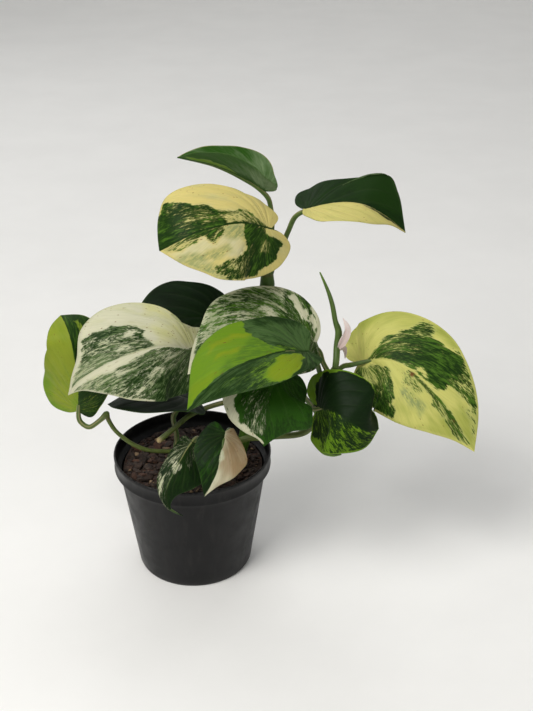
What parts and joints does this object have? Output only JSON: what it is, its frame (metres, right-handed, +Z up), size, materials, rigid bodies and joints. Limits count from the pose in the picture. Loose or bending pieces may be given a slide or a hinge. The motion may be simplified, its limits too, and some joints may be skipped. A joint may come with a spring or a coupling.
{
  "type": "potted satin pothos",
  "caption": "Small climbing house plant with heart-shaped variegated leaves on bent petioles, growing from bark soil in a tapered black nursery pot.",
  "frame": {"origin": "centre of the pot's flat base, on the surface that it stands on", "axes": "+Z up, +X to the right of the plant's best side, +Y to its back"},
  "size_m": [0.2781, 0.1385, 0.2905],
  "materials": {
    "pot_plastic": "black, satin",
    "soil": "damp bark mix",
    "vine": "olive green, satin",
    "leaf_green": "mid green, satin",
    "leaf_dark_green": "dark green, satin",
    "leaf_cream": "cream with green marbling, satin",
    "leaf_lime": "lime with green patches, satin",
    "leaf_white_green": "white with green marbling, satin",
    "bract": "pinkish white, papery"
  },
  "bodies": {
    "root": {"pot": "pot_plastic", "soil": "soil", "vine_main": "vine", "vine_left": "vine", "vine_right": "vine", "cut_petiole": "vine", "leaf_top": "leaf_green", "leaf_upper_left": "leaf_cream", "leaf_upper_right": "leaf_dark_green", "leaf_left": "leaf_white_green", "leaf_far_left": "leaf_lime", "leaf_behind": "leaf_dark_green", "leaf_shaded": "leaf_dark_green", "leaf_centre_back": "leaf_white_green", "leaf_centre_front": "leaf_lime", "leaf_low_centre": "leaf_green", "leaf_curled": "leaf_dark_green", "leaf_right": "leaf_cream", "leaf_drooping": "leaf_dark_green", "leaf_rim": "leaf_green", "rolled_leaf": "leaf_green", "bract_upper": "bract", "bract_lower": "bract"}
  },
  "joints": []
}
